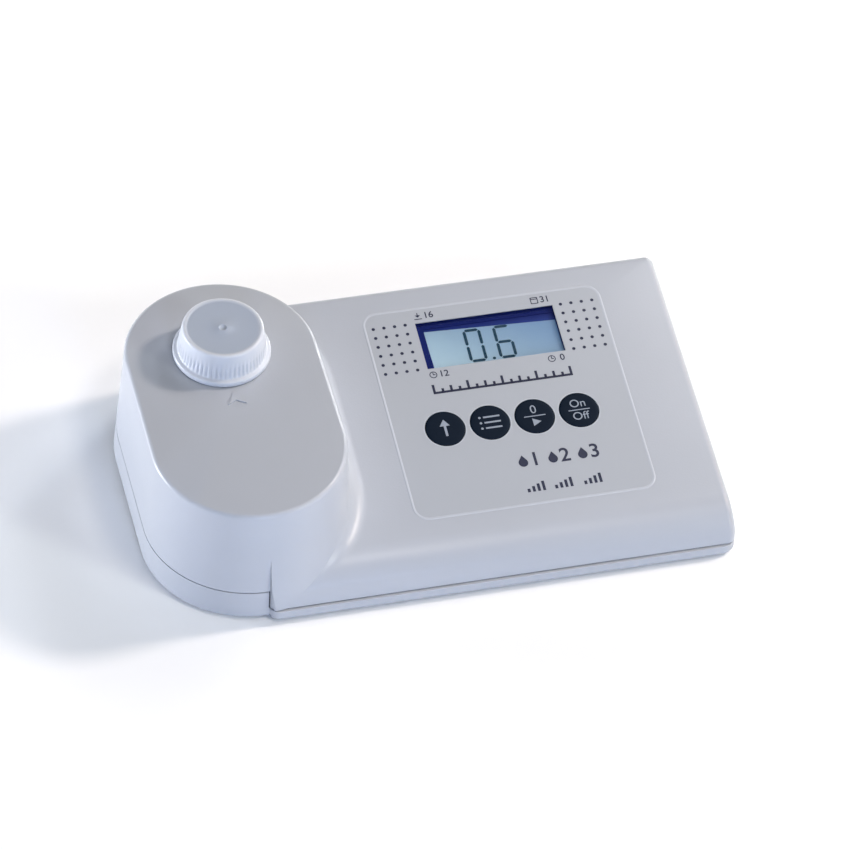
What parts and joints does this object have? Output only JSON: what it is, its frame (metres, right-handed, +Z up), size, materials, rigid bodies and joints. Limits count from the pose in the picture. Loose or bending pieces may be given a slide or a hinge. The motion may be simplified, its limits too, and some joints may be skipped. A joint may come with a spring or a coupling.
{
  "type": "pool photometer",
  "caption": "Handheld water-test photometer: low sloping housing with a display and four film keys, and a raised turret that holds a capped glass vial over its light path and battery box.",
  "frame": {"origin": "middle of the footprint, on the surface that the feet stand on", "axes": "+X to the user's right along the housing, +Y away from the user, +Z up out of the vial"},
  "size_m": [0.1898, 0.1099, 0.0582],
  "materials": {
    "housing_plastic": "fine-textured light grey ABS moulding",
    "seal_rubber": "dark soft seal",
    "screw_steel": "plain steel",
    "foot_rubber": "matt moulded rubber",
    "cell_jacket": "plain sleeved cell",
    "contact_metal": "nickel-plated sheet",
    "film_print": "fine-grained polyester foil, printed grey",
    "clear_film": "clear polyester layers",
    "clear_pane": "clear flat pane",
    "frame_navy": "dark blue display surround",
    "lcd_face": "pale blue-grey reflective display",
    "diffuser": "milky light guide",
    "zebra_rubber": "striped conductive rubber",
    "circuit_board": "green solder resist",
    "chip_black": "moulded black parts",
    "optics_black": "light-proof black moulding",
    "lamp_lens": "water-clear lamp body",
    "filter_glass": "coated coloured glass",
    "sensor_can": "dark sensor body",
    "key_navy": "dark navy printed key with a satin face",
    "vial_glass": "clear borosilicate glass",
    "cap_plastic": "white translucent polypropylene",
    "liner_foam": "soft sealing disc"
  },
  "bodies": {
    "housing": {"upper_housing": "housing_plastic", "lower_housing": "housing_plastic", "housing_gasket": "seal_rubber", "housing_screws": "screw_steel", "rubber_feet": "foot_rubber", "battery_cover": "housing_plastic", "battery_cover_seal": "seal_rubber", "battery_cover_screws": "screw_steel", "aa_cell_1": "cell_jacket", "aa_cell_2": "cell_jacket", "aa_cell_3": "cell_jacket", "aa_cell_4": "cell_jacket", "battery_contacts": "contact_metal", "battery_springs": "contact_metal", "keypad_film": "film_print", "keypad_spacer": "clear_film", "keypad_circuit": "clear_film", "key_domes": "contact_metal", "display_window": "clear_pane", "lcd_frame": "frame_navy", "lcd_glass": "lcd_face", "backlight_panel": "diffuser", "zebra_strips": "zebra_rubber", "main_board": "circuit_board", "board_components": "chip_black", "board_screws": "screw_steel", "sample_chamber": "optics_black", "chamber_seal": "seal_rubber", "chamber_screws": "screw_steel", "lamp_holder": "optics_black", "led_lamps": "lamp_lens", "lamp_board": "circuit_board", "sensor_holder": "optics_black", "interference_filters": "filter_glass", "photosensors": "sensor_can", "sensor_board": "circuit_board", "optic_screws": "screw_steel"},
    "vial": {"vial_glass": "vial_glass"},
    "liner": {"cap_liner": "liner_foam"},
    "cap": {"vial_cap": "cap_plastic"},
    "key_1_body": {"key_1": "key_navy"},
    "key_2_body": {"key_2": "key_navy"},
    "key_3_body": {"key_3": "key_navy"},
    "key_4_body": {"key_4": "key_navy"}
  },
  "joints": [
    {"name": "vial_lift", "type": "slide", "parent": "housing", "child": "vial", "axis": [0, 0, 1], "range_m": [0, 0.05]},
    {"name": "cap_rise", "type": "slide", "parent": "vial", "child": "liner", "axis": [0, 0, 1], "range_m": [0, 0.005]},
    {"name": "cap_turn", "type": "hinge", "parent": "liner", "child": "cap", "pos_m": [-0.0612, 0.0212, 0.05], "axis": [0, 0, 1], "range_deg": [0, 540]},
    {"name": "key_1_press", "type": "slide", "parent": "housing", "child": "key_1_body", "axis": [0, 0.1607, -0.987], "range_m": [0, 0.0003], "stiffness_N_per_m": 2000},
    {"name": "key_2_press", "type": "slide", "parent": "housing", "child": "key_2_body", "axis": [0, 0.1607, -0.987], "range_m": [0, 0.0003], "stiffness_N_per_m": 2000},
    {"name": "key_3_press", "type": "slide", "parent": "housing", "child": "key_3_body", "axis": [0, 0.1607, -0.987], "range_m": [0, 0.0003], "stiffness_N_per_m": 2000},
    {"name": "key_4_press", "type": "slide", "parent": "housing", "child": "key_4_body", "axis": [0, 0.1607, -0.987], "range_m": [0, 0.0003], "stiffness_N_per_m": 2000}
  ],
  "couplings": [
    {"joint": "cap_rise", "follows": "cap_turn", "m_per_rad": 0.00047746}
  ]
}
